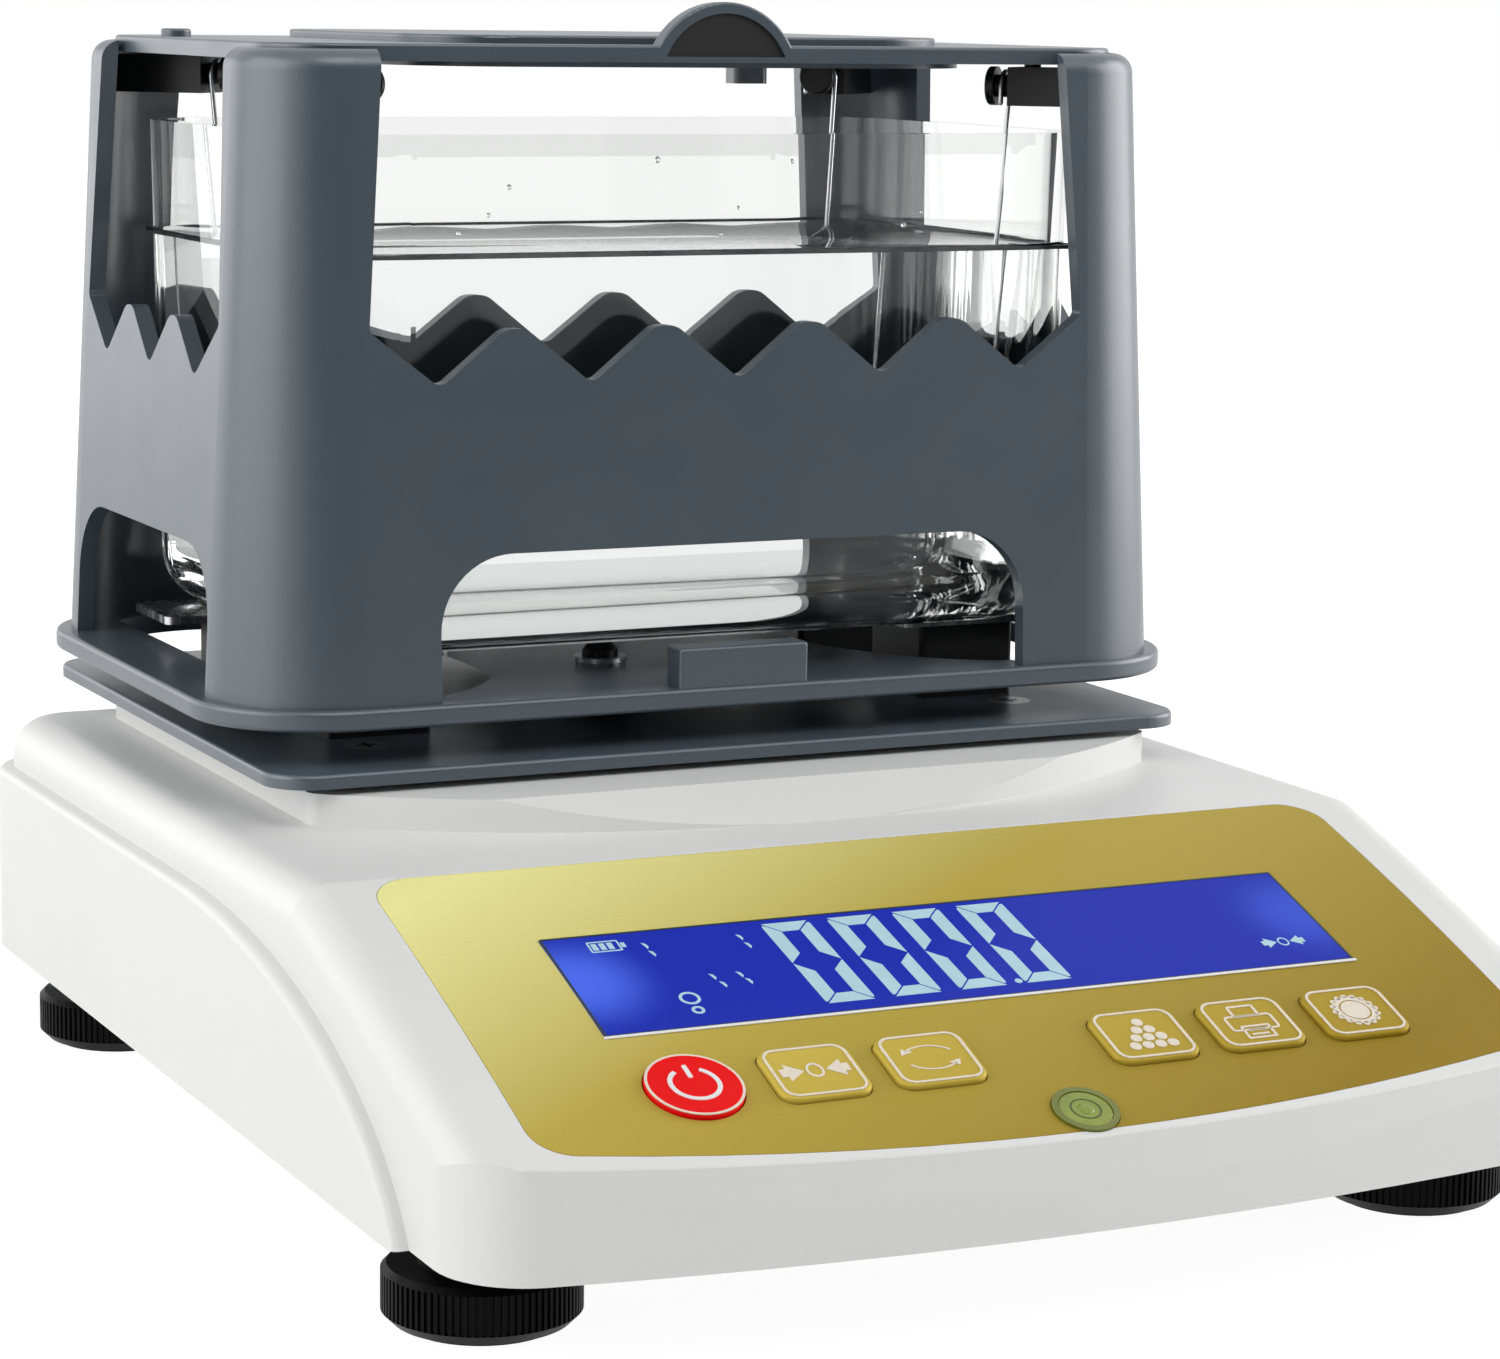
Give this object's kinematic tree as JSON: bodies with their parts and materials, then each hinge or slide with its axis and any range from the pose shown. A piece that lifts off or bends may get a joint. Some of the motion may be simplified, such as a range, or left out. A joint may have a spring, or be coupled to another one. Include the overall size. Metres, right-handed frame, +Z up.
{
  "type": "benchtop density meter",
  "caption": "Benchtop density meter: a balance base with a sloped key panel under a weighed rack with sample tray, hanging basket and clear water tank.",
  "frame": {"origin": "on the bench under the middle of the base's width and depth, at the underside of the levelling feet", "axes": "+X to the right and +Y to the back as the operator sees the meter, +Z up"},
  "size_m": [0.2, 0.252, 0.1922],
  "materials": {
    "cover_white": "fine moulded",
    "slate_grey": "satin moulded",
    "black_plastic": "satin moulded",
    "clear_acrylic": "clear polished",
    "gold_film": "brushed metallic print",
    "window_blue": "polished, lit from behind",
    "module_grey": "plain",
    "key_red": "embossed",
    "key_gold": "embossed",
    "steel": "brushed",
    "aluminium": "machined",
    "brass": "turned",
    "pad_rubber": "soft",
    "board_green": "lacquered",
    "battery_grey": "plain",
    "level_green": "liquid behind a clear lens"
  },
  "bodies": {
    "base": {"base_cover": "cover_white", "base_tray": "black_plastic", "base_screws": "steel", "foot_inserts": "brass", "stand_plate": "slate_grey", "stand_plate_screws": "steel", "water_tank": "clear_acrylic", "panel_overlay": "gold_film", "lcd_window": "window_blue", "lcd_module": "module_grey", "key_board": "board_green", "main_board": "board_green", "battery": "battery_grey", "power_jack": "black_plastic", "serial_port": "steel", "level_housing": "black_plastic", "level_vial": "level_green", "load_cell_mount": "aluminium", "load_cell": "aluminium", "load_cell_screws": "steel", "overload_screw": "steel", "support_block_front_left": "black_plastic", "support_strip_front_left": "steel", "support_block_front_right": "black_plastic", "support_strip_front_right": "steel", "support_block_rear_left": "black_plastic", "support_strip_rear_left": "steel", "support_block_rear_right": "black_plastic", "support_strip_rear_right": "steel"},
    "rack": {"load_spider": "aluminium", "spider_screws": "steel", "rack_hub": "slate_grey", "rack_base": "slate_grey", "rack_screws": "black_plastic", "rack_washers": "steel", "rack_front_stop": "slate_grey", "frame_shell": "slate_grey", "hook_arm_front_left": "black_plastic", "hook_arm_front_right": "black_plastic", "hook_arm_rear_left": "black_plastic", "hook_arm_rear_right": "black_plastic"},
    "sample_tray": {"sample_tray": "slate_grey", "tray_tab_inset": "black_plastic"},
    "basket": {"basket_dish": "steel", "basket_hanger_left": "steel", "basket_hanger_right": "steel"},
    "power_key": {"power_key": "key_red"},
    "zero_key": {"zero_key": "key_gold"},
    "mode_key": {"mode_key": "key_gold"},
    "enter_key": {"enter_key": "key_gold"},
    "print_key": {"print_key": "key_gold"},
    "setup_key": {"setup_key": "key_gold"},
    "foot_pad_front_left": {"foot_pad_front_left": "pad_rubber"},
    "foot_wheel_front_left": {"foot_wheel_front_left": "black_plastic"},
    "foot_pad_front_right": {"foot_pad_front_right": "pad_rubber"},
    "foot_wheel_front_right": {"foot_wheel_front_right": "black_plastic"},
    "foot_pad_rear_left": {"foot_pad_rear_left": "pad_rubber"},
    "foot_wheel_rear_left": {"foot_wheel_rear_left": "black_plastic"},
    "foot_pad_rear_right": {"foot_pad_rear_right": "pad_rubber"},
    "foot_wheel_rear_right": {"foot_wheel_rear_right": "black_plastic"}
  },
  "joints": [
    {"name": "weigh_slide", "type": "slide", "parent": "base", "child": "rack", "axis": [0, 0, 1], "range_m": [-0.0005, 0], "stiffness_N_per_m": 12000, "springref_m": 0.0005, "deforming": ["load_cell"]},
    {"name": "tray_lift", "type": "slide", "parent": "rack", "child": "sample_tray", "axis": [0, 0, 1], "range_m": [0, 0.03]},
    {"name": "basket_lift", "type": "slide", "parent": "rack", "child": "basket", "axis": [0, 0, 1], "range_m": [0, 0.006]},
    {"name": "power_key_press", "type": "slide", "parent": "base", "child": "power_key", "axis": [0, 0.3626, -0.9319], "range_m": [0, 0.0005], "stiffness_N_per_m": 2000, "springref_m": -0.0003},
    {"name": "zero_key_press", "type": "slide", "parent": "base", "child": "zero_key", "axis": [0, 0.3626, -0.9319], "range_m": [0, 0.0005], "stiffness_N_per_m": 2000, "springref_m": -0.0003},
    {"name": "mode_key_press", "type": "slide", "parent": "base", "child": "mode_key", "axis": [0, 0.3626, -0.9319], "range_m": [0, 0.0005], "stiffness_N_per_m": 2000, "springref_m": -0.0003},
    {"name": "enter_key_press", "type": "slide", "parent": "base", "child": "enter_key", "axis": [0, 0.3626, -0.9319], "range_m": [0, 0.0005], "stiffness_N_per_m": 2000, "springref_m": -0.0003},
    {"name": "print_key_press", "type": "slide", "parent": "base", "child": "print_key", "axis": [0, 0.3626, -0.9319], "range_m": [0, 0.0005], "stiffness_N_per_m": 2000, "springref_m": -0.0003},
    {"name": "setup_key_press", "type": "slide", "parent": "base", "child": "setup_key", "axis": [0, 0.3626, -0.9319], "range_m": [0, 0.0005], "stiffness_N_per_m": 2000, "springref_m": -0.0003},
    {"name": "foot_front_left_height", "type": "slide", "parent": "base", "child": "foot_pad_front_left", "axis": [0, 0, 1], "range_m": [-0.006, 0]},
    {"name": "foot_front_left_turn", "type": "hinge", "parent": "foot_pad_front_left", "child": "foot_wheel_front_left", "pos_m": [-0.0819, -0.085, 0], "axis": [0, 0, 1], "range_deg": [-2160, 0]},
    {"name": "foot_front_right_height", "type": "slide", "parent": "base", "child": "foot_pad_front_right", "axis": [0, 0, 1], "range_m": [-0.006, 0]},
    {"name": "foot_front_right_turn", "type": "hinge", "parent": "foot_pad_front_right", "child": "foot_wheel_front_right", "pos_m": [0.0819, -0.085, 0], "axis": [0, 0, 1], "range_deg": [-2160, 0]},
    {"name": "foot_rear_left_height", "type": "slide", "parent": "base", "child": "foot_pad_rear_left", "axis": [0, 0, 1], "range_m": [-0.006, 0]},
    {"name": "foot_rear_left_turn", "type": "hinge", "parent": "foot_pad_rear_left", "child": "foot_wheel_rear_left", "pos_m": [-0.0819, 0.0965, 0], "axis": [0, 0, 1], "range_deg": [-2160, 0]},
    {"name": "foot_rear_right_height", "type": "slide", "parent": "base", "child": "foot_pad_rear_right", "axis": [0, 0, 1], "range_m": [-0.006, 0]},
    {"name": "foot_rear_right_turn", "type": "hinge", "parent": "foot_pad_rear_right", "child": "foot_wheel_rear_right", "pos_m": [0.0819, 0.0965, 0], "axis": [0, 0, 1], "range_deg": [-2160, 0]}
  ],
  "couplings": [
    {"joint": "basket_lift", "follows": "tray_lift", "ratio": 0.2},
    {"joint": "foot_front_left_height", "follows": "foot_front_left_turn", "m_per_rad": 0.000159},
    {"joint": "foot_front_right_height", "follows": "foot_front_right_turn", "m_per_rad": 0.000159},
    {"joint": "foot_rear_left_height", "follows": "foot_rear_left_turn", "m_per_rad": 0.000159},
    {"joint": "foot_rear_right_height", "follows": "foot_rear_right_turn", "m_per_rad": 0.000159}
  ]
}
